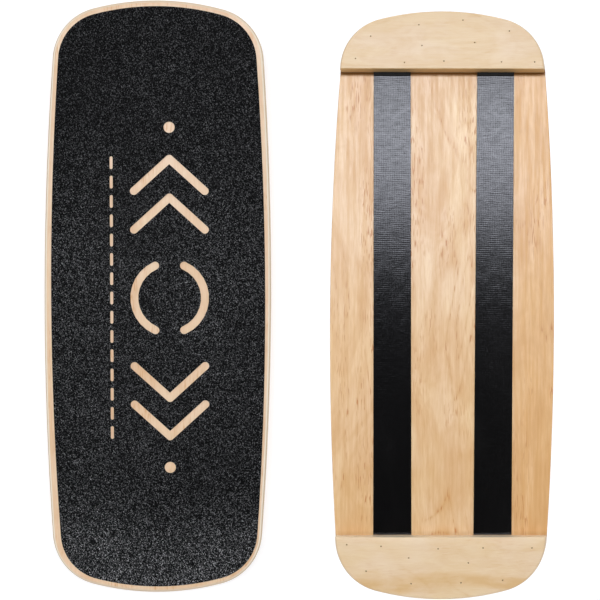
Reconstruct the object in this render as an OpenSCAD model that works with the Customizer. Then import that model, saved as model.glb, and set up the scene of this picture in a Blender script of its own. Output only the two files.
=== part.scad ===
// Balance board: a plywood deck with a grip sheet on top, and underneath it two friction
// strips for a roller and two end stops that are glued and nailed on.
// X runs along the board, Y across it and Z up. The origin is below the middle of the
// board, on the plane that the faces of the two stops rest on. All sizes are millimetres.

/* [Deck] */
// Length from tip to tip
deck_length = 740; // [730:5:760]
// Width at the middle
deck_width = 283; // [280:1:288]
// Radius of the two long sides, which bulge slightly
side_radius = 4300; // [4000:100:4600]
// Radius of the two ends
end_radius = 313; // [308:1:320]
// Radius of the four corners
corner_radius = 68; // [64:1:70]
// Radius of the rounded upper rim
rim_radius = 5.5; // [4:0.5:6]
// Width of the small bevel around the lower edge
lower_bevel = 0.8; // [0.4:0.1:1]

/* [Plywood] */
// Thickness of one of the nine layers of the plywood in the deck and the stops
layer_thickness = 1.4; // [1.3:0.05:1.5]

/* [End stops] */
// How far a stop reaches in from the board's tip
stop_depth = 77; // [75:1:90]
// Width of the narrow ledge of the deck that shows around a stop
stop_inset = 1.5; // [0:0.5:2.5]
// Radius of a stop's rounded outer rim
stop_rim_radius = 3; // [2:0.5:4]
// Radius of a stop's eased inner edge
stop_edge_radius = 1; // [0.5:0.1:1.5]

/* [Grip sheet] */
// Thickness of the abrasive sheet
grip_thickness = 0.8; // [0.6:0.1:1.2]
// Width of the bare rim around the sheet
grip_inset = 8.5; // [6.5:0.5:12]
// How far the sheet is laid off the middle, to the left
grip_offset = -1; // [-1:0.5:1]
// Angle that the sheet is laid askew
grip_turn = 0.3; // [-0.3:0.1:0.3]

/* [Pattern in the grip sheet] */
// Width of the large strokes
stroke_width = 10; // [6:1:12]
// Distance of the large pattern from the middle line
pattern_offset = -14; // [-20:1:0]
// Radius of the open ring in the middle
ring_radius = 44; // [36:1:48]
// Half of the gap angle at each end of the open ring
ring_gap_angle = 24; // [20:1:30]
// Half of a chevron's height across the board
chevron_half_height = 44; // [36:1:48]
// Length of a chevron along the board
chevron_length = 40; // [30:1:44]
// Distance from the middle to the tip of the first chevron
first_chevron_tip = 125; // [115:1:130]
// Distance from one chevron to the next
chevron_pitch = 48; // [40:1:52]
// Diameter of the dot beyond the last chevron
dot_diameter = 14; // [10:1:18]
// Distance from the middle to a dot
dot_distance = 212; // [205:1:225]
// Distance of the row of dashes from the middle line
dash_offset = 58; // [56:1:64]
// Width of a dash
dash_width = 4; // [3:0.5:6]
// Distance from one dash to the next
dash_pitch = 24; // [20:1:26]
// Number of dashes on each side of the middle
dash_pairs = 7; // [4:1:8]

/* [Friction strips] */
// Width of a strip
strip_width = 47.5; // [40:0.5:50]
// Distance between the middle lines of the two strips
strip_spacing = 128.5; // [110:0.5:140]
// How far the two strips together are laid off the middle, to the left
strip_offset = 1.5; // [-4:0.5:4]
// Angle that each strip leans away from the middle line, towards the front
strip_lean = 0.4; // [0:0.1:0.6]
// Thickness of a strip
strip_thickness = 0.8; // [0.5:0.1:1.2]
// Gap between a strip's end and a stop
strip_gap = 0.5; // [0.2:0.1:2]

/* [Brads] */
// Diameter of a brad's shank
shank_diameter = 1.4; // [1.2:0.1:1.6]
// Diameter of a brad's head
head_diameter = 1.9; // [1.7:0.1:2.2]
// Height of a brad's head
head_height = 0.8; // [0.6:0.05:0.8]
// Depth that the head is sunk below the stop's face
head_sink = 0.45; // [0.3:0.05:0.45]
// Length of a brad, with its head and its point
brad_length = 17.4; // [16:0.1:17.5]
// Length of a brad's point
point_length = 2; // [1:0.1:3]

/* [Hidden] */

LAYERS = 9;
plywood_thickness = LAYERS * layer_thickness;
deck_bottom = plywood_thickness;
deck_top = deck_bottom + plywood_thickness;
stop_inner_x = deck_length / 2 - stop_depth;
brad_tip = head_sink + brad_length;

// Distance along the board from a tip, and distance to the left of the middle line, for
// each brad. The brads are driven by hand, so their rows are only roughly straight.
front_brads_at = [
    [64, -110], [69, -48], [67, 2], [68, 75], [68, 117],
    [47, -26], [43, 41],
    [35, -91], [20, -30], [14, 26], [28, 85],
];
rear_brads_at = [
    [68, -115], [66, -73], [63, -3], [64, 52], [64, 112],
    [52, -39], [46, 34],
    [36, -91], [21, -36], [22, 25], [25, 76],
];

chord_error = 0.05;       // largest gap between an arc and the chords that draw it
rim_step = 18;            // angle of one facet around a rounded rim
fan_step = 12;            // angle of one facet around a stroke's round end
overlap = 1;              // how far a cutter reaches past the face that it cuts
$fn = 16;

FACE_VENEER = [0.91, 0.79, 0.65];
LONG_VENEER = [0.90, 0.76, 0.58];
CROSS_VENEER = [0.74, 0.55, 0.36];
STOP_VENEER = [0.92, 0.83, 0.70];
GRIP_BLACK = [0.13, 0.13, 0.13];
STRIP_BLACK = [0.08, 0.08, 0.09];
BRAD_STEEL = [0.45, 0.42, 0.38];

// ---- Outline: a side arc, a corner arc and an end arc, each tangent to the next ----

side_centre = [0, deck_width / 2 - side_radius];
end_centre = [deck_length / 2 - end_radius, 0];

// The corner arc touches both others from inside, which fixes its centre's distance
// from each of their centres.
corner_from_side = side_radius - corner_radius;
corner_from_end = end_radius - corner_radius;
centres_apart = norm(end_centre - side_centre);
centres_along = (end_centre - side_centre) / centres_apart;
centres_across = [centres_along.y, -centres_along.x];
corner_along = (centres_apart ^ 2 + corner_from_side ^ 2 - corner_from_end ^ 2) / (2 * centres_apart);
corner_across = sqrt(corner_from_side ^ 2 - corner_along ^ 2);
corner_centre = side_centre + corner_along * centres_along + corner_across * centres_across;

function polar(radius, angle) = radius * [cos(angle), sin(angle)];
function heading(a, b) = atan2(b.y - a.y, b.x - a.x);
function reversed(list) = [for (i = [len(list) - 1 : -1 : 0]) list[i]];
function without_first(list) = [for (i = [1 : len(list) - 1]) list[i]];
function without_last(list) = [for (i = [0 : len(list) - 2]) list[i]];

side_end_angle = heading(side_centre, corner_centre);
corner_end_angle = heading(end_centre, corner_centre);

// An arc of the outline, moved inwards by inset. The number of chords doesn't depend on
// inset, so outlines with different insets join point to point.
function outline_arc(centre, radius, from, to, inset) =
    let (steps = ceil(abs(to - from) / (2 * acos(1 - chord_error / radius))))
    [for (i = [0 : steps]) centre + polar(radius - inset, from + (to - from) * i / steps)];

// The outline from the tip at +X, round the corner, to where the side arc begins
function tip_and_corner(inset) = concat(
    outline_arc(end_centre, end_radius, 0, corner_end_angle, inset),
    without_first(
        outline_arc(corner_centre, corner_radius, corner_end_angle, side_end_angle, inset)
    )
);

function quarter_outline(inset) = concat(
    tip_and_corner(inset),
    without_first(outline_arc(side_centre, side_radius, side_end_angle, 90, inset))
);

function deck_outline(inset = 0) =
    let (
        quarter = quarter_outline(inset),
        half = concat(quarter, [for (p = without_first(reversed(quarter))) [-p.x, p.y]])
    )
    concat(half, without_last(without_first([for (p = reversed(half)) [p.x, -p.y]])));

// The outline of the stop at +X. Its inner edge is straight and moves by its own inset.
function stop_outline(inset, inner_inset = 0) =
    let (
        inner_x = stop_inner_x + inner_inset,
        inner_angle = acos(inner_x / (side_radius - inset)),
        half = concat(
            tip_and_corner(inset),
            [side_centre + polar(side_radius - inset, inner_angle)]
        )
    )
    concat(without_last([for (p = reversed(half)) [p.x, -p.y]]), half);

// ---- Rounded rims, described downwards from a face at z = 0 ----

function rim_inset(depth, radius) =
    depth >= radius ? 0 : radius - sqrt(radius ^ 2 - (radius - depth) ^ 2);

function rim_angle(depth, radius) = depth >= radius ? 0 : asin(1 - depth / radius);

// Depths at which the side of a layer is drawn, from its lower face to its upper one
function rim_depths(upper, lower, radius) =
    let (
        from = rim_angle(lower, radius),
        to = rim_angle(upper, radius),
        steps = ceil((to - from) / rim_step)
    )
    concat(
        lower > radius ? [lower] : [],
        [for (i = [0 : steps]) radius * (1 - sin(from + (to - from) * i / steps))]
    );

// A solid through a stack of outlines with equal numbers of points, lowest first
module loft(heights, outlines) {
    count = len(outlines[0]);
    last = len(outlines) - 1;
    points = [for (k = [0 : last]) each [for (p = outlines[k]) [p.x, p.y, heights[k]]]];
    sides = [
        for (k = [0 : last - 1], i = [0 : count - 1])
        let (next = (i + 1) % count)
        [k * count + i, (k + 1) * count + i, (k + 1) * count + next, k * count + next]
    ];
    lower_face = [for (i = [0 : count - 1]) i];
    upper_face = [for (i = [count - 1 : -1 : 0]) last * count + i];
    polyhedron(points, concat([lower_face, upper_face], sides));
}

// ---- Brads ----

module at_front(places) {
    for (p = places) translate([deck_length / 2 - p.x, p.y, 0]) children();
}

module at_rear(places) {
    for (p = places) translate([p.x - deck_length / 2, p.y, 0]) children();
}

module brad() {
    shank_end = brad_tip - point_length;
    translate([0, 0, head_sink]) cylinder(d = head_diameter, h = head_height);
    translate([0, 0, head_sink + head_height])
        cylinder(d = shank_diameter, h = shank_end - head_sink - head_height);
    translate([0, 0, shank_end]) cylinder(d1 = shank_diameter, d2 = 0, h = point_length);
}

// The hole that a brad's shank leaves, open towards the face of the stop
module shank_hole() {
    translate([0, 0, -overlap]) cylinder(d = shank_diameter, h = overlap + brad_tip);
}

// The wider mouth of the hole, down to the underside of the sunk head
module head_hole() {
    translate([0, 0, -overlap])
        cylinder(d = head_diameter, h = overlap + head_sink + head_height);
}

module front_brads() {
    color(BRAD_STEEL) at_front(front_brads_at) brad();
}

module rear_brads() {
    color(BRAD_STEEL) at_rear(rear_brads_at) brad();
}

// ---- Deck, with layer 1 at the bottom and its face grain along the board ----

module deck_layer_solid(layer) {
    lower_depth = (LAYERS + 1 - layer) * layer_thickness;
    upper_depth = lower_depth - layer_thickness;
    if (layer == 1) {
        translate([0, 0, deck_bottom]) loft(
            [0, lower_bevel, layer_thickness],
            [deck_outline(lower_bevel), deck_outline(), deck_outline()]
        );
    } else if (upper_depth < rim_radius) {
        depths = rim_depths(upper_depth, lower_depth, rim_radius);
        translate([0, 0, deck_top])
            loft(-depths, [for (d = depths) deck_outline(rim_inset(d, rim_radius))]);
    } else {
        translate([0, 0, deck_top - lower_depth])
            linear_extrude(layer_thickness) polygon(deck_outline());
    }
}

module deck_layer(layer) {
    layer_bottom = deck_bottom + (layer - 1) * layer_thickness;
    difference() {
        deck_layer_solid(layer);
        if (layer_bottom < brad_tip) {
            at_front(front_brads_at) shank_hole();
            at_rear(rear_brads_at) shank_hole();
        }
    }
}

module deck_face_bottom() {
    color(FACE_VENEER) deck_layer(1);
}

module deck_ply(layer) {
    color(layer % 2 == 0 ? CROSS_VENEER : LONG_VENEER) deck_layer(layer);
}

module deck_face_top() {
    color(FACE_VENEER) deck_layer(LAYERS);
}

// ---- End stops, with layer 1 at the bottom and its face grain across the board ----

module stop_layer_solid(layer) {
    upper_depth = (layer - 1) * layer_thickness;
    lower_depth = upper_depth + layer_thickness;
    if (upper_depth < stop_rim_radius) {
        depths = rim_depths(upper_depth, lower_depth, stop_rim_radius);
        mirror([0, 0, 1]) loft(
            -depths,
            [
                for (d = depths)
                stop_outline(
                    stop_inset + rim_inset(d, stop_rim_radius),
                    rim_inset(d, stop_edge_radius)
                )
            ]
        );
    } else {
        translate([0, 0, upper_depth])
            linear_extrude(layer_thickness) polygon(stop_outline(stop_inset));
    }
}

module front_stop_layer(layer) {
    difference() {
        stop_layer_solid(layer);
        at_front(front_brads_at) shank_hole();
        if (layer == 1) at_front(front_brads_at) head_hole();
    }
}

module rear_stop_layer(layer) {
    difference() {
        mirror([1, 0, 0]) stop_layer_solid(layer);
        at_rear(rear_brads_at) shank_hole();
        if (layer == 1) at_rear(rear_brads_at) head_hole();
    }
}

module front_stop_face() {
    color(STOP_VENEER) front_stop_layer(1);
}

module front_stop_ply(layer) {
    color(layer % 2 == 0 ? CROSS_VENEER : LONG_VENEER) front_stop_layer(layer);
}

module front_stop_back() {
    color(LONG_VENEER) front_stop_layer(LAYERS);
}

module rear_stop_face() {
    color(STOP_VENEER) rear_stop_layer(1);
}

module rear_stop_ply(layer) {
    color(layer % 2 == 0 ? CROSS_VENEER : LONG_VENEER) rear_stop_layer(layer);
}

module rear_stop_back() {
    color(LONG_VENEER) rear_stop_layer(LAYERS);
}

// ---- Grip sheet, with a pattern of bare strokes cut through it ----

// Points around an arc, and around the outside of a stroke's corner or end
function fan(centre, radius, from, to) =
    let (steps = ceil(abs(to - from) / fan_step))
    [for (i = [0 : steps]) centre + polar(radius, from + (to - from) * i / steps)];

// The left side of a stroke at the corner b of the path a, b, c: a fan outside a sharp
// bend, and otherwise the point where the two straight sides meet
function left_corner(a, b, c, radius) =
    let (
        start = heading(a, b),
        change = heading(b, c) - start,
        bend = change - 360 * round(change / 360)
    )
    bend < -fan_step
        ? fan(b, radius, start + 90, start + 90 + bend)
        : [b + polar(radius / cos(bend / 2), start + 90 + bend / 2)];

function left_side_and_end(path, radius) =
    let (
        last = len(path) - 1,
        end = heading(path[last - 1], path[last])
    )
    concat(
        [for (i = [1 : 1 : last - 1]) each left_corner(path[i - 1], path[i], path[i + 1], radius)],
        fan(path[last], radius, end + 90, end - 90)
    );

// A stroke of even width with round ends, cut through the grip sheet
module bare_stroke(path, width) {
    translate([0, 0, deck_top - overlap]) linear_extrude(grip_thickness + 2 * overlap) polygon(
        concat(left_side_and_end(path, width / 2), left_side_and_end(reversed(path), width / 2))
    );
}

module open_ring() {
    middle = [0, pattern_offset];
    for (start = [0, 180])
        bare_stroke(
            fan(middle, ring_radius, start + ring_gap_angle, start + 180 - ring_gap_angle),
            stroke_width
        );
}

module chevron(tip, toward) {
    foot = tip - toward * chevron_length;
    bare_stroke(
        [
            [foot, pattern_offset - chevron_half_height],
            [tip, pattern_offset],
            [foot, pattern_offset + chevron_half_height],
        ],
        stroke_width
    );
}

// A dash at x. Two dashes are two dash widths apart, and the round ends are half a width long.
module dash(x) {
    dash_length = dash_pitch - 2 * dash_width;
    half_path = (dash_length - dash_width) / 2;
    bare_stroke([[x - half_path, dash_offset], [x + half_path, dash_offset]], dash_width);
}

module dot(x) {
    translate([x, pattern_offset, deck_top - overlap])
        cylinder(d = dot_diameter, h = grip_thickness + 2 * overlap, $fn = 48);
}

module grip_sheet() {
    color(GRIP_BLACK) translate([0, grip_offset, 0]) rotate([0, 0, grip_turn]) difference() {
        translate([0, 0, deck_top]) linear_extrude(grip_thickness) polygon(deck_outline(grip_inset));
        open_ring();
        for (toward = [-1, 1], i = [0, 1])
            chevron(toward * (first_chevron_tip + i * chevron_pitch), toward);
        for (toward = [-1, 1]) dot(toward * dot_distance);
        for (i = [-dash_pairs : dash_pairs]) dash(i * dash_pitch);
    }
}

// ---- Friction strips ----

// A strip's ends are cut along the stops, square to the board.
module friction_strip(side) {
    half_length = stop_inner_x - strip_gap;
    half_width = strip_width / 2;
    middle = strip_offset + side * strip_spacing / 2;
    lean = side * half_length * tan(strip_lean);
    color(STRIP_BLACK)
        translate([0, middle, deck_bottom - strip_thickness])
            linear_extrude(strip_thickness) polygon([
                [-half_length, -lean - half_width],
                [half_length, lean - half_width],
                [half_length, lean + half_width],
                [-half_length, -lean + half_width],
            ]);
}

module left_friction_strip() {
    friction_strip(1);
}

module right_friction_strip() {
    friction_strip(-1);
}

deck_face_bottom();
deck_ply(2);  // deck_ply_2
deck_ply(3);  // deck_ply_3
deck_ply(4);  // deck_ply_4
deck_ply(5);  // deck_ply_5
deck_ply(6);  // deck_ply_6
deck_ply(7);  // deck_ply_7
deck_ply(8);  // deck_ply_8
deck_face_top();
front_stop_face();
front_stop_ply(2);  // front_stop_ply_2
front_stop_ply(3);  // front_stop_ply_3
front_stop_ply(4);  // front_stop_ply_4
front_stop_ply(5);  // front_stop_ply_5
front_stop_ply(6);  // front_stop_ply_6
front_stop_ply(7);  // front_stop_ply_7
front_stop_ply(8);  // front_stop_ply_8
front_stop_back();
rear_stop_face();
rear_stop_ply(2);  // rear_stop_ply_2
rear_stop_ply(3);  // rear_stop_ply_3
rear_stop_ply(4);  // rear_stop_ply_4
rear_stop_ply(5);  // rear_stop_ply_5
rear_stop_ply(6);  // rear_stop_ply_6
rear_stop_ply(7);  // rear_stop_ply_7
rear_stop_ply(8);  // rear_stop_ply_8
rear_stop_back();
grip_sheet();
left_friction_strip();
right_friction_strip();
front_brads();
rear_brads();
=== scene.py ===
"""Looks for the balance board: materials, modelled friction strips, light, floor and camera.

The board lies on the floor on its two end stops, grip side up. The picture this part was
made from shows the board twice, so the camera also sees a turned-over display copy of it.
The copy is part of the stage, not of the object. It is small and hangs close to the
camera, where it looks as large as the board and stays out of the way of other views.
"""

import math
from dataclasses import dataclass, replace

import bpy
from mathutils import Matrix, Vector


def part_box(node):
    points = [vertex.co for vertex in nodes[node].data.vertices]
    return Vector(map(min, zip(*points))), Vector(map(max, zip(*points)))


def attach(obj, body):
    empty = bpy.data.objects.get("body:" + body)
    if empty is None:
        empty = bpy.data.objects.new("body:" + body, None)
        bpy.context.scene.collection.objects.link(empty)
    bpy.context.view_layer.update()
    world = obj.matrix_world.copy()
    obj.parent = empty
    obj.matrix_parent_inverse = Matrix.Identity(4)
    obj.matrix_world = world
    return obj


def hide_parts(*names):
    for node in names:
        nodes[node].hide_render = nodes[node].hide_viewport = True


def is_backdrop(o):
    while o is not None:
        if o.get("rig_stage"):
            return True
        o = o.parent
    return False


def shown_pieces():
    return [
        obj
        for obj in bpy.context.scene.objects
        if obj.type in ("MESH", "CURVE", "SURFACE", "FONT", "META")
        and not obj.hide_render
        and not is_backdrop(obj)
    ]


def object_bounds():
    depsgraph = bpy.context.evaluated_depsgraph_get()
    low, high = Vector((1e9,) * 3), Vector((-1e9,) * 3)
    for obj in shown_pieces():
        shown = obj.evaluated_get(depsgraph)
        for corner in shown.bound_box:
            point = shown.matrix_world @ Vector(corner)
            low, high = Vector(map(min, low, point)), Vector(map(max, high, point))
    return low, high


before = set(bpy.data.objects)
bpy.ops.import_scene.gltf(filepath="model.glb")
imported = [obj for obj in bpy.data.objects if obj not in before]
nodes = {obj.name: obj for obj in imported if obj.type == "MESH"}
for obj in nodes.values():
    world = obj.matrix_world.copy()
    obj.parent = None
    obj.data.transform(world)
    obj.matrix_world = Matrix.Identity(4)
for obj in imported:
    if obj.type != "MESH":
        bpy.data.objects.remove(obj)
cad_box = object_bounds()

MM = 0.001
STRIP_WIDTH = 47.5 * MM

# Camera, and where it sees the board and the display copy: metres and degrees.
LENS = 60.0
SENSOR = 36.0
CLIP_START = 0.01
BOARD_PLACE = (-0.1779, 0.0031, -1.2717)
BOARD_TURN = (1.14, 1.11, -0.22)
COPY_PLACE = (-0.05785, 0.04609, -1.2460)
COPY_TURN = (-2.89, 0.20, -0.03)

# The copy's slide in the picture, as shares of its distance, and its scale factors.
COPY_SHIFT = (0.1879, -0.0362)
COPY_DEPTH = 1.36
COPY_SCALE = 0.08

# Light from the world, in degrees from straight up: an even glow that leaves the part
# round the camera dark, and one soft panel overhead, towards +X.
GLOW = 0.52
DARK_CAP = (10.0, 26.0)
CAP_GLOW = 0.03
PANEL = 11.0
PANEL_COLOUR = (0.94, 0.97, 1.09)
PANEL_TILT = (14.2, 23.3)
PANEL_HALF_WIDTH = 30.0
PANEL_SOFTNESS = 7.0
WHITE = (1.0, 1.0, 1.0, 1.0)

FLOOR_REACH = 40.0
FLOOR_GREY = (0.50, 0.50, 0.50, 1.0)
FLOOR_LIGHT = 0.60


# ---------------------------------------------------------------- node trees

class Tree:
    """A node tree, with one short call for each kind of node."""

    def __init__(self, tree):
        self.nodes = tree.nodes
        self.links = tree.links

    def add(self, kind, inputs=None, **settings):
        node = self.nodes.new(kind)
        for key, value in settings.items():
            setattr(node, key, value)
        for name, value in (inputs or {}).items():
            self.feed(node.inputs[name], value)
        return node

    def feed(self, socket, value):
        if isinstance(value, bpy.types.NodeSocket):
            self.links.new(value, socket)
        else:
            socket.default_value = value

    def math(self, operation, *values):
        node = self.add("ShaderNodeMath", operation=operation)
        for socket, value in zip(node.inputs, values):
            self.feed(socket, value)
        return node.outputs[0]

    def degrees(self, radians):
        return self.math("MULTIPLY", radians, math.degrees(1.0))

    def weighted(self, *parts):
        """The sum of the values, each times its weight."""
        total = 0.0
        for value, weight in parts:
            total = self.math("MULTIPLY_ADD", value, weight, total)
        return total

    def range(self, value, low, high, to_low=0.0, to_high=1.0, smooth=True):
        """Carries low to to_low and high to to_high, and holds them beyond."""
        node = self.add("ShaderNodeMapRange", {"Value": value})
        node.interpolation_type = "SMOOTHSTEP" if smooth else "LINEAR"
        node.inputs["From Min"].default_value = low
        node.inputs["From Max"].default_value = high
        node.inputs["To Min"].default_value = to_low
        node.inputs["To Max"].default_value = to_high
        return node.outputs["Result"]

    def mix(self, factor, first, second):
        """The first colour at a factor of 0, the second at 1."""
        node = self.add("ShaderNodeMix", data_type="RGBA")
        self.feed(node.inputs["Factor"], factor)
        for name, value in (("A", first), ("B", second)):
            socket = next(s for s in node.inputs if s.name == name and s.type == "RGBA")
            self.feed(socket, value if isinstance(value, bpy.types.NodeSocket) else (*value, 1.0))
        return next(s for s in node.outputs if s.type == "RGBA")

    def noise(self, vector, detail=2.0, roughness=0.5, distortion=0.0):
        node = self.add("ShaderNodeTexNoise", {"Vector": vector, "Scale": 1.0})
        node.inputs["Detail"].default_value = detail
        node.inputs["Roughness"].default_value = roughness
        node.inputs["Distortion"].default_value = distortion
        return node.outputs["Fac"]

    def split(self, vector):
        return self.add("ShaderNodeSeparateXYZ", {"Vector": vector}).outputs

    def bump(self, height, distance, strength=1.0):
        inputs = {"Height": height, "Distance": distance, "Strength": strength}
        return self.add("ShaderNodeBump", inputs).outputs["Normal"]


class MaterialTree(Tree):
    """A new material's node tree, with the place on the object and the way it faces."""

    def __init__(self, name):
        self.material = bpy.data.materials.new(name)
        self.material.use_nodes = True
        super().__init__(self.material.node_tree)
        self.shader = self.nodes["Principled BSDF"]
        coordinates = self.add("ShaderNodeTexCoord")
        self.place = coordinates.outputs["Object"]
        self.normal = coordinates.outputs["Normal"]

    def stretched(self, scale, offset=(0.0, 0.0, 0.0)):
        """Object coordinates in metres, times a scale per axis, plus an offset."""
        node = self.add("ShaderNodeMapping", {"Vector": self.place})
        node.inputs["Scale"].default_value = scale
        node.inputs["Location"].default_value = offset
        return node.outputs["Vector"]

    def finish(self, **values):
        """Sets the shader's inputs, and gives the material back."""
        for name, value in values.items():
            self.feed(self.shader.inputs[name.replace("_", " ")], value)
        return self.material


# ---------------------------------------------------------------- woods

@dataclass(frozen=True)
class Wood:
    """A veneer's colours, its figure and its lacquer.

    Patch is the number of colour patches in a metre along the grain. Figure and vessels
    are how strongly the figure and its short dark vessels show. Bare, if given, is the
    colour of a rim that sanding has bared.
    """

    pale: tuple
    blush: tuple
    deep: tuple
    end: tuple
    figure: float
    patch: float
    vessels: float
    roughness: float
    shine: float
    bare: tuple = ()


DECK_WOOD = Wood(
    pale=(0.90, 0.65, 0.345),
    blush=(0.93, 0.70, 0.46),
    deep=(0.64, 0.32, 0.085),
    end=(0.64, 0.48, 0.32),
    figure=1.15,
    patch=7.0,
    vessels=0.85,
    roughness=0.36,
    shine=0.80,
)
TOP_WOOD = replace(
    DECK_WOOD,
    pale=(0.91, 0.69, 0.465),
    blush=(0.94, 0.73, 0.53),
    deep=(0.76, 0.48, 0.26),
    vessels=0.5,
    shine=0.4,
    bare=(0.92, 0.83, 0.66),
)
LONG_PLY_WOOD = replace(
    DECK_WOOD,
    pale=(0.87, 0.77, 0.62),
    blush=(0.87, 0.79, 0.67),
    deep=(0.72, 0.57, 0.41),
    end=(0.70, 0.56, 0.40),
    figure=0.6,
    vessels=0.4,
)
CROSS_PLY_WOOD = replace(
    DECK_WOOD,
    pale=(0.70, 0.53, 0.34),
    blush=(0.72, 0.56, 0.38),
    deep=(0.54, 0.36, 0.19),
    end=(0.54, 0.38, 0.22),
    figure=0.6,
    vessels=0.4,
)
STOP_WOOD = replace(
    DECK_WOOD,
    pale=(0.84, 0.64, 0.385),
    blush=(0.86, 0.67, 0.48),
    deep=(0.72, 0.46, 0.20),
    figure=0.7,
    patch=16.0,
    vessels=0.14,
    roughness=0.45,
)

# A vessel's colour is the wood's deep colour times this.
VESSEL_TINT = (0.84, 0.60, 0.28)

# The underside's golden sides: how golden the right and left ones get, and their colour.
SIDE_DEPTH = (0.24, 0.62)
SIDE_GOLD = (0.74, 0.36, 0.06)

# Painted shade in the corners between the deck and the two stops, where the stops shade the underside.
PAINTED_CORNER_SHADE = (0.26, 0.11, 0.030)
PAINTED_SHADE_WIDTH = 7.0 * MM
FRONT_PAINTED_SHADE = 1.0
REAR_PAINTED_SHADE = 0.25

# Painted shade, with a painted warm reflection off the deck, on the front stop's inner edge,
# which faces away from the light. It is darkest on its layer at the deck, as a painted
# contact shadow. Painted light on the rear stop's inner edge, which faces the light.
FRONT_INNER_EDGE_PAINTED_SHADE = (0.70, 0.44, 0.19)
FRONT_DECK_LAYER_PAINTED_SHADOW = (0.30, 0.14, 0.045)
REAR_INNER_EDGE_PAINTED_LIGHT = (0.95, 0.80, 0.56)


@dataclass(frozen=True)
class Veneer:
    """One layer of plywood: its wood, and what sets it apart from the other layers.

    The grain runs along X, or along Y if across is true. The seed picks its piece of
    figure. A band is the place and half width over the grain of a darker growth ring. The
    underside gets golden towards its sides, and painted shade in the corners at the stops.
    A painted inner edge is the colour painted on a stop's edge that faces the middle of
    the board: painted shade on the front stop, painted light on the rear one. To_middle
    is the sign of that way along X.
    """

    wood: Wood = LONG_PLY_WOOD
    across: bool = False
    seed: float = 0.0
    band: tuple = ()
    underside: bool = False
    painted_inner_edge: tuple = ()
    to_middle: float = 1.0


DECK_PLY = Veneer()
FRONT_STOP_PLY = Veneer(across=True, painted_inner_edge=FRONT_INNER_EDGE_PAINTED_SHADE, to_middle=-1.0)
REAR_STOP_PLY = Veneer(across=True, painted_inner_edge=REAR_INNER_EDGE_PAINTED_LIGHT, to_middle=1.0)
SPECIAL_LAYERS = {
    "deck_face_bottom": {"wood": DECK_WOOD, "underside": True},
    "deck_face_top": {"wood": TOP_WOOD},
    "front_stop_face": {"wood": STOP_WOOD},
    "front_stop_back": {"painted_inner_edge": FRONT_DECK_LAYER_PAINTED_SHADOW},
    "rear_stop_face": {"wood": STOP_WOOD, "band": (-0.350, 0.014)},
}
SEED_STEP = 1.7


class VeneerTree(MaterialTree):
    """A veneer's node tree, with noise that is drawn out along the grain."""

    def __init__(self, name, veneer):
        super().__init__(name)
        self.veneer = veneer

    def grain(self, along_grain, over_grain, shift, **settings):
        """Noise with this many cells a metre along the grain and over it."""
        scale = (along_grain, over_grain, over_grain)
        if self.veneer.across:
            scale = (over_grain, along_grain, over_grain)
        seed = self.veneer.seed
        offset = (seed + shift, seed * 0.7 + shift, seed * 1.3)
        return self.noise(self.stretched(scale, offset), **settings)


def growth_rings(tree, swirl):
    """Long nested arches where the peeling knife met the growth rings, here and there."""
    ring = tree.math("PINGPONG", tree.math("MULTIPLY", swirl, 20.0), 1.0)
    ring = tree.math("POWER", ring, 4.0)
    presence = tree.range(tree.grain(3.5, 13.0, 7.7), 0.42, 0.60)
    return tree.math("MULTIPLY", ring, presence)


def short_vessels(tree, ring):
    """Short dark dashes along the grain. They draw the growth rings more than lines do."""
    vessel = tree.range(tree.grain(75.0, 720.0, 31.1, detail=0.0), 0.60, 0.69)
    presence = tree.range(tree.grain(8.0, 26.0, 37.9), 0.50, 0.64)
    presence = tree.math("MAXIMUM", presence, tree.math("MULTIPLY", ring, 1.3))
    return tree.math("MULTIPLY", vessel, presence)


def dark_band(tree, band, swirl, shimmer):
    """One broad growth ring that wavers along the stop."""
    middle, half_width = band
    waver = tree.math("SUBTRACT", swirl, 0.5)
    place = tree.math("MULTIPLY_ADD", waver, 2.4 * half_width, tree.split(tree.place)["X"])
    away = tree.math("ABSOLUTE", tree.math("SUBTRACT", place, middle))
    in_band = tree.range(away, 0.2 * half_width, half_width, 0.80, 0.0)
    return tree.math("MULTIPLY", in_band, tree.range(shimmer, 0.0, 1.0, 0.6, 1.0))


def golden_sides(tree, streak):
    """How golden the underside is: more towards its sides, in streaks."""
    place = tree.split(tree.place)["Y"]
    start = 0.3 * cad_box[1].y
    end = 0.8 * cad_box[1].y
    right, left = SIDE_DEPTH
    golden = tree.math(
        "ADD",
        tree.range(place, -start, -end, 0.0, right),
        tree.range(place, start, end, 0.0, left),
    )
    return tree.math("MULTIPLY", golden, tree.range(streak, 0.0, 1.0, 0.72, 1.30, smooth=False))


def corner_painted_shade(tree):
    """How much painted shade the underside gets: only in the corners at the stops, where they shade it."""
    place = tree.split(tree.place)["X"]
    front_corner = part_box("front_stop_face")[0].x
    rear_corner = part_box("rear_stop_face")[1].x
    front = tree.range(place, front_corner - PAINTED_SHADE_WIDTH, front_corner, 0.0, FRONT_PAINTED_SHADE)
    rear = tree.range(place, rear_corner + PAINTED_SHADE_WIDTH, rear_corner, 0.0, REAR_PAINTED_SHADE)
    return tree.math("ADD", front, rear)


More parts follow.
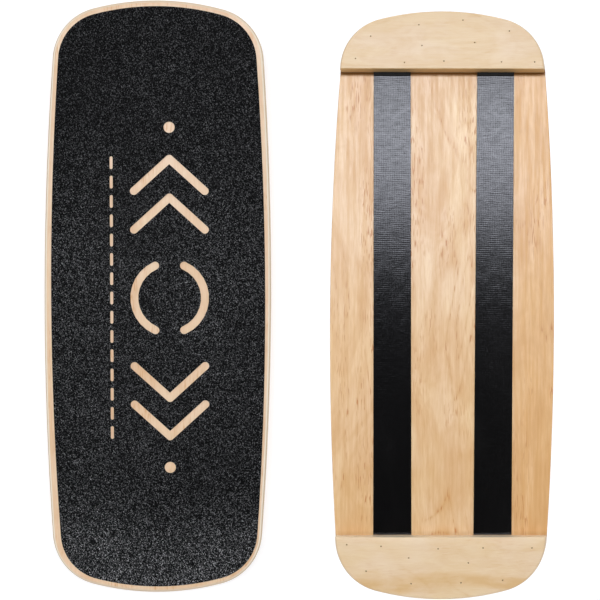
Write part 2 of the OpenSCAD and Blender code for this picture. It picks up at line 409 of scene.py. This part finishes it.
def edge_colour(tree, colour, veneer):
    """Adds the bared rim, the end grain of sawn edges and the painted shade and painted light on the stops'
    inner edges.
    """
    wood = veneer.wood
    normal = tree.split(tree.normal)
    if wood.bare:
        upright = tree.math("ABSOLUTE", normal["Z"])
        colour = tree.mix(tree.range(upright, 0.985, 0.88, 0.0, 0.9), colour, wood.bare)

    facing = tree.math("ABSOLUTE", normal["Y" if veneer.across else "X"])
    pores = tree.noise(tree.stretched((1500.0, 1500.0, 700.0)))
    end_colour = tree.mix(tree.range(pores, 0.35, 0.65, 0.0, 0.5), wood.end, wood.deep)
    colour = tree.mix(tree.range(facing, 0.10, 0.75), colour, end_colour)

    # Painted light and shade: a stop's edge that faces the middle is drawn darker on the front stop and
    # paler on the rear one, by the way it faces the light.
    if veneer.painted_inner_edge:
        inward = tree.math("MULTIPLY", normal["X"], veneer.to_middle)
        colour = tree.mix(tree.range(inward, 0.3, 0.8, 0.0, 0.88), colour, veneer.painted_inner_edge)
    return colour


def veneer_material(name, veneer):
    """Peeled and lacquered veneer, from its broad patches down to its fibres."""
    wood = veneer.wood
    tree = VeneerTree(name, veneer)
    swirl = tree.grain(2.6, 9.0, 3.1, distortion=0.9)
    ring = growth_rings(tree, swirl)
    patch_shape = {"detail": 4.0, "roughness": 0.6, "distortion": 1.2}
    patch = tree.range(tree.grain(wood.patch, 2.4 * wood.patch, 11.3, **patch_shape), 0.36, 0.66)
    blush = tree.range(tree.grain(0.8 * wood.patch, 2.0 * wood.patch, 27.1, detail=3.0), 0.38, 0.64)
    shimmer = tree.range(tree.grain(22.0, 60.0, 13.7, detail=3.0, roughness=0.6), 0.30, 0.70)
    streak = tree.range(tree.grain(12.0, 260.0, 17.9, detail=3.0, roughness=0.7), 0.35, 0.68)
    fibre = tree.range(tree.grain(70.0, 900.0, 23.5), 0.30, 0.70)
    vessel = short_vessels(tree, ring)

    depth = tree.weighted((patch, 0.42), (shimmer, 0.12), (streak, 0.20), (ring, 0.24))
    depth = tree.math("MULTIPLY", depth, wood.figure)
    if veneer.band:
        depth = tree.math("ADD", depth, dark_band(tree, veneer.band, swirl, shimmer))

    colour = tree.mix(tree.math("MULTIPLY", blush, 0.6), wood.pale, wood.blush)
    if veneer.underside:
        colour = tree.mix(golden_sides(tree, streak), colour, SIDE_GOLD)
    colour = tree.mix(depth, colour, wood.deep)
    fibre_share = tree.math("MULTIPLY", fibre, 0.19 * wood.figure + 0.03)
    colour = tree.mix(fibre_share, colour, wood.deep)
    vessel_share = tree.math("MULTIPLY", vessel, wood.vessels)
    vessel_colour = tuple(deep * tint for deep, tint in zip(wood.deep, VESSEL_TINT))
    colour = tree.mix(vessel_share, colour, vessel_colour)
    shine = wood.shine
    if veneer.underside:
        # Painted shade: the corners at the stops are drawn dark and lose their sheen, as if shaded.
        darkening = corner_painted_shade(tree)
        colour = tree.mix(darkening, colour, PAINTED_CORNER_SHADE)
        shine = tree.range(darkening, 0.0, 1.0, wood.shine, 0.0, smooth=False)

    height = tree.weighted((fibre, 1.0), (ring, 0.3), (vessel, -0.8))
    return tree.finish(
        Base_Color=edge_colour(tree, colour, veneer),
        Roughness=tree.range(streak, 0.0, 1.0, wood.roughness - 0.04, wood.roughness + 0.06),
        Specular_IOR_Level=shine,
        Normal=tree.bump(height, 0.015 * MM),
    )


# ---------------------------------------------------------------- other materials

TAPE_BLACK = (0.0032, 0.0030, 0.0030)
TAPE_DUST = (0.012, 0.011, 0.011)
BRAD_BROWN = (0.340, 0.190, 0.085)
BRAD_DARK = (0.170, 0.090, 0.035)


def grip_painted_light(tree):
    """Painted light: how much lighter the sheet is drawn, darker towards the front end, lighter round the
    middle, and lightest at the rear end.
    """
    half_length = cad_box[1].x
    place = tree.split(tree.place)["X"]
    to_middle = tree.range(place, 0.65 * half_length, 0.05 * half_length, 0.54, 0.98)
    past_middle = tree.range(place, 0.0, -0.5 * half_length, 0.0, -0.14)
    rear_end = tree.range(place, -0.62 * half_length, -0.92 * half_length, 0.0, 1.0)
    painted_lightness = tree.math("ADD", tree.math("ADD", to_middle, past_middle), rear_end)
    patchiness = tree.noise(tree.stretched((6.0, 9.0, 6.0)), detail=3.0)
    return tree.math("MULTIPLY", painted_lightness, tree.range(patchiness, 0.30, 0.70, 0.85, 1.15))


def grip_material():
    """Black abrasive sheet: coarse grit set in dark resin, with glints off single grains painted into its
    colour.
    """
    tree = MaterialTree("grip_abrasive")
    clumps_a_metre = 1120.0
    grains_a_metre = 1900.0
    clump = tree.add("ShaderNodeTexVoronoi", {"Vector": tree.place, "Scale": clumps_a_metre})
    grain = tree.add("ShaderNodeTexVoronoi", {"Vector": tree.place, "Scale": grains_a_metre})
    clump_tone = tree.math("POWER", tree.split(clump.outputs["Color"])["X"], 6.5)
    grain_tone = tree.split(grain.outputs["Color"])["X"]
    grain_share = tree.range(grain_tone, 0.0, 1.0, 0.5, 1.3, smooth=False)
    tone = tree.math("MULTIPLY", clump_tone, grain_share)
    # Painted glint: some bright grains are drawn lighter in the colour itself.
    painted_glint = tree.math("MULTIPLY", tree.range(grain_tone, 0.95, 0.98), tree.range(clump_tone, 0.3, 0.6))
    tone = tree.math("MULTIPLY_ADD", painted_glint, 1.2, tone)
    # Painted light: the tone is scaled along the board, lighter towards the middle and the rear end.
    tone = tree.math("MULTIPLY", tree.math("MULTIPLY_ADD", tone, 0.205, 0.0014), grip_painted_light(tree))
    colour = tree.add("ShaderNodeCombineColor", {"Red": tone, "Green": tone, "Blue": tone})
    height = tree.math("ADD", grain.outputs["Distance"], clump_tone)
    return tree.finish(
        Base_Color=colour.outputs["Color"],
        Roughness=tree.range(grain_tone, 0.0, 1.0, 0.80, 0.50),
        Specular_IOR_Level=0.06,
        Normal=tree.bump(height, 0.16 * MM, 0.8),
    )


def strip_material():
    """Black textured tape: a coarse weave pressed into rubber, smooth enough to glare."""
    tree = MaterialTree("strip_rubber")
    place = tree.split(tree.place)
    weft_pitch = 2.6 * MM
    warp_pitch = 2.9 * MM
    turn = 2.0 * math.pi
    waver = tree.math("MULTIPLY", tree.noise(tree.stretched((70.0, 40.0, 40.0))), 9.0)
    weft = tree.math("SINE", tree.math("MULTIPLY_ADD", place["X"], turn / weft_pitch, waver))
    warp = tree.math("SINE", tree.math("MULTIPLY_ADD", place["Y"], turn / warp_pitch, waver))
    slub = tree.noise(tree.stretched((330.0, 110.0, 110.0)), roughness=0.6)
    cloth = tree.noise(tree.stretched((650.0, 520.0, 520.0)), roughness=0.7)
    height = tree.weighted((warp, 0.0045), (weft, 0.0045), (slub, 0.034), (cloth, 0.022))
    dust = tree.range(tree.noise(tree.stretched((14.0, 40.0, 14.0)), detail=4.0), 0.45, 0.80)
    slub_shine = tree.range(slub, 0.30, 0.70, 0.28, 0.43, smooth=False)
    cloth_shine = tree.range(cloth, 0.35, 0.65, -0.07, 0.07, smooth=False)
    return tree.finish(
        Base_Color=tree.mix(tree.math("MULTIPLY", dust, 0.25), TAPE_BLACK, TAPE_DUST),
        Roughness=tree.range(cloth, 0.3, 0.7, 0.10, 0.16),
        Specular_IOR_Level=tree.weighted((slub_shine, 1.0), (cloth_shine, 1.0), (weft, 0.05), (warp, 0.05)),
        Normal=tree.bump(height, 1.0 * MM),
    )


def brad_material():
    """Steel under a dull brown film, as on a brad that was set and left."""
    tree = MaterialTree("brad_steel")
    darkening = tree.noise(tree.stretched((900.0, 900.0, 900.0)), detail=3.0)
    return tree.finish(
        Base_Color=tree.mix(tree.range(darkening, 0.35, 0.65), BRAD_BROWN, BRAD_DARK),
        Roughness=tree.range(darkening, 0.3, 0.7, 0.50, 0.75),
        Specular_IOR_Level=0.1,
        Normal=tree.bump(darkening, 0.03 * MM, 0.5),
    )


# ---------------------------------------------------------------- pieces

def give(piece, material):
    piece.data.materials.clear()
    piece.data.materials.append(material)


def dress_plywood(name, faces, first_seed, shared):
    """Gives each layer of a plywood piece its own figure, so no two layers repeat.

    Shared is what the layers have in common, with the grain of the two faces.
    """
    layers = [faces[0], *(f"ply_{number}" for number in range(2, 9)), faces[1]]
    for index, layer in enumerate(layers):
        node = f"{name}_{layer}"
        across = shared.across if index % 2 == 0 else not shared.across
        veneer = replace(
            shared,
            wood=CROSS_PLY_WOOD if across else LONG_PLY_WOOD,
            across=across,
            seed=first_seed + SEED_STEP * index,
        )
        veneer = replace(veneer, **SPECIAL_LAYERS.get(node, {}))
        give(nodes[node], veneer_material(f"{node}_veneer", veneer))


def smooth_shading(piece, angle=32.0):
    """Shades round rims as round, and leaves real corners sharp."""
    imported_normals = piece.data.attributes.get("custom_normal")
    if imported_normals:
        piece.data.attributes.remove(imported_normals)
    piece.data.polygons.foreach_set("use_smooth", [True] * len(piece.data.polygons))
    weld = piece.modifiers.new("weld", "WELD")
    weld.merge_threshold = 0.002 * MM
    split = piece.modifiers.new("sharp_corners", "EDGE_SPLIT")
    split.split_angle = math.radians(angle)
    split.use_edge_sharp = False


def friction_strip(node, phase):
    """A length of textured tape: rounded edges, raised cross ribs and a hand-laid waver.

    Its front end is turned up where the tape was pushed against the stop. The CAD strip's
    box is wider than the tape by as much as the strip leans.
    """
    low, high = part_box(node)
    length = high.x - low.x
    side = 1.0 if node.startswith("left") else -1.0
    lean = side * (high.y - low.y - STRIP_WIDTH) / length
    rib_pitch = 2.4 * MM
    stations_per_rib = 3
    relief = 0.04 * MM
    round_edge = 0.12 * MM
    spare = 0.12 * MM
    turned_length = 4.2 * MM
    turned_rise = 1.8 * MM
    turned_bend = 1.5
    lanes = 22
    stations = int(length / (rib_pitch / stations_per_rib))
    points = []
    for i in range(stations + 1):
        x = low.x + length * i / stations
        turned = max(0.0, 1.0 - (high.x - x) / turned_length) ** turned_bend * turned_rise
        middle = (low.y + high.y) / 2 + lean * x
        left_waver = math.sin(11.0 * x + phase) * math.cos(29.0 * x + phase)
        right_waver = math.sin(13.0 * x - phase) * math.cos(23.0 * x + 2 * phase)
        left = middle + STRIP_WIDTH / 2 - spare * (0.5 + 0.4 * left_waver)
        right = middle - STRIP_WIDTH / 2 + spare * (0.5 + 0.4 * right_waver)
        ring = [(right, high.z), (right, low.z + round_edge - turned)]
        for lane in range(lanes + 1):
            share = lane / lanes
            y = right + round_edge + (left - right - 2 * round_edge) * share
            rib_turns = i / stations_per_rib + 0.25 * math.sin(9.0 * share + phase)
            rib = 0.5 + 0.5 * math.cos(2 * math.pi * rib_turns)
            waver = 0.5 + 0.5 * math.sin(37.0 * x + 5.0 * share + phase)
            ring.append((y, low.z + relief * (0.65 * rib + 0.35 * waver) - turned))
        ring += [(left, low.z + round_edge - turned), (left, high.z)]
        points += [(x, y, z) for y, z in ring]
    mesh = bpy.data.meshes.new(node.replace("_friction_strip", "_tape"))
    mesh.from_pydata(points, [], tube_faces(stations, len(ring)))
    mesh.update()
    piece = bpy.data.objects.new(mesh.name, mesh)
    smooth_shading(piece)
    bpy.context.scene.collection.objects.link(piece)
    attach(piece, "root")
    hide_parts(node)
    return piece


def tube_faces(stations, size):
    """The faces that join rings of this many points into a tube with closed ends."""
    faces = []
    for i in range(stations):
        for j in range(size):
            k = (j + 1) % size
            faces.append((i * size + j, (i + 1) * size + j, (i + 1) * size + k, i * size + k))
    faces.append(tuple(range(size)))
    faces.append(tuple(reversed(range(stations * size, (stations + 1) * size))))
    return faces


# ---------------------------------------------------------------- stage

def panel_share(tree, direction):
    """How much of the soft panel is seen in a direction: 1 on it and 0 beside it."""
    tilt = tree.degrees(tree.math("ARCTAN2", direction["X"], direction["Z"]))
    side = tree.degrees(tree.math("ARCTAN2", direction["Y"], direction["Z"]))
    near, far = PANEL_TILT
    edge = PANEL_SOFTNESS / 2
    share = tree.math(
        "MULTIPLY",
        tree.range(tilt, near - edge, near + edge),
        tree.range(tilt, far - edge, far + edge, 1.0, 0.0),
    )
    side_share = tree.range(
        tree.math("ABSOLUTE", side), PANEL_HALF_WIDTH - edge, PANEL_HALF_WIDTH + edge, 1.0, 0.0
    )
    return tree.math("MULTIPLY", share, side_share)


def make_world():
    """Direction is all that counts, so the board and its display copy get the same light."""
    world = bpy.data.worlds.new("soft_studio")
    bpy.context.scene.world = world
    world.use_nodes = True
    tree = Tree(world.node_tree)
    tree.nodes.clear()
    direction = tree.split(tree.add("ShaderNodeTexCoord").outputs["Generated"])
    from_zenith = tree.degrees(tree.math("ARCCOSINE", direction["Z"]))
    glow_strength = tree.range(from_zenith, *DARK_CAP, CAP_GLOW, GLOW)
    panel_strength = tree.math("MULTIPLY", panel_share(tree, direction), PANEL)
    glow = tree.add("ShaderNodeBackground", {"Color": WHITE, "Strength": glow_strength})
    panel = tree.add("ShaderNodeBackground", {"Color": (*PANEL_COLOUR, 1.0), "Strength": panel_strength})
    light = tree.add("ShaderNodeAddShader")
    tree.feed(light.inputs[0], glow.outputs[0])
    tree.feed(light.inputs[1], panel.outputs[0])
    backdrop = tree.add("ShaderNodeBackground", {"Color": WHITE})
    seen = tree.add("ShaderNodeLightPath").outputs["Is Camera Ray"]
    choice = tree.add("ShaderNodeMixShader", {"Fac": seen})
    tree.feed(choice.inputs[1], light.outputs[0])
    tree.feed(choice.inputs[2], backdrop.outputs[0])
    output = tree.add("ShaderNodeOutputWorld")
    tree.feed(output.inputs["Surface"], choice.outputs[0])


def make_floor():
    """A pale floor that glows a little, so that it stays as pale as the backdrop."""
    reach = FLOOR_REACH
    mesh = bpy.data.meshes.new("floor")
    corners = [(-reach, -reach, 0), (reach, -reach, 0), (reach, reach, 0), (-reach, reach, 0)]
    mesh.from_pydata(corners, [], [(0, 1, 2, 3)])
    floor = bpy.data.objects.new("floor", mesh)
    bpy.context.scene.collection.objects.link(floor)
    paper = MaterialTree("floor_paper").finish(
        Base_Color=FLOOR_GREY,
        Roughness=0.9,
        Specular_IOR_Level=0.0,
        Emission_Color=WHITE,
        Emission_Strength=FLOOR_LIGHT,
    )
    mesh.materials.append(paper)
    floor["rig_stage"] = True


def seen_from_camera(place, turn, turned_over):
    """A board's place in the camera's axes: +X to the right, +Y up, -Z away."""
    if turned_over:
        base = Matrix(((0, 1, 0, 0), (1, 0, 0, 0), (0, 0, -1, 0), (0, 0, 0, 1)))
    else:
        base = Matrix(((0, -1, 0, 0), (1, 0, 0, 0), (0, 0, 1, 0), (0, 0, 0, 1)))
    about_x, about_y, about_z = (
        Matrix.Rotation(math.radians(angle), 4, axis) for angle, axis in zip(turn, "XYZ")
    )
    return Matrix.Translation(place) @ about_z @ about_y @ about_x @ base


def make_camera():
    data = bpy.data.cameras.new("camera")
    data.lens = LENS
    data.sensor_width = SENSOR
    data.clip_start = CLIP_START
    camera = bpy.data.objects.new("camera", data)
    bpy.context.scene.collection.objects.link(camera)
    camera.matrix_world = seen_from_camera(BOARD_PLACE, BOARD_TURN, False).inverted()
    bpy.context.scene.camera = camera
    return camera


def display_copy(camera):
    """Shows the underside: every piece again, turned over and scaled towards the camera.

    The shift slides it sideways in the picture, as a shifted lens would, so that it is
    seen from straight above. Stretching its depth shows the stops' inner edges as a nearer
    camera with a shorter lens would.
    """
    stand = bpy.data.objects.new("display_stand", None)
    bpy.context.scene.collection.objects.link(stand)
    stand.matrix_world = camera.matrix_world @ Matrix.Scale(COPY_SCALE, 4)
    shift = Matrix.Identity(4)
    shift[0][2], shift[1][2] = -COPY_SHIFT[0], -COPY_SHIFT[1]
    stretch = Matrix.Identity(4)
    stretch[2][2] = COPY_DEPTH
    stretch[2][3] = COPY_PLACE[2] * (1.0 - COPY_DEPTH)
    placing = shift @ stretch @ seen_from_camera(COPY_PLACE, COPY_TURN, True)
    small_materials = {}
    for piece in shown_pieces():
        copy = piece.copy()
        copy.name = piece.name + "_display"
        for key in [k for k in copy.keys() if k.startswith("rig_")]:
            del copy[key]
        copy.parent = stand
        copy.matrix_parent_inverse = placing
        bpy.context.scene.collection.objects.link(copy)
        copy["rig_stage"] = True
        for slot in copy.material_slots:
            material = slot.material
            if material.name not in small_materials:
                small_materials[material.name] = scaled_bumps(material)
            slot.link = "OBJECT"
            slot.material = small_materials[material.name]


def scaled_bumps(material):
    """The same material for the display copy: a bump's distance is in world units."""
    small = material.copy()
    for node in small.node_tree.nodes:
        if node.type == "BUMP":
            node.inputs["Distance"].default_value *= COPY_SCALE
    return small


dress_plywood("deck", ("face_bottom", "face_top"), 0.0, DECK_PLY)
dress_plywood("front_stop", ("face", "back"), 10.0, FRONT_STOP_PLY)
dress_plywood("rear_stop", ("face", "back"), 20.0, REAR_STOP_PLY)
give(nodes["grip_sheet"], grip_material())
steel = brad_material()
for brads in ("front_brads", "rear_brads"):
    give(nodes[brads], steel)
for node in nodes.values():
    smooth_shading(node)
rubber = strip_material()
for phase, strip in enumerate(("left_friction_strip", "right_friction_strip")):
    give(friction_strip(strip, 2.0 * phase), rubber)

make_world()
make_floor()
main_camera = make_camera()
display_copy(main_camera)
bpy.context.scene.view_settings.view_transform = "Standard"
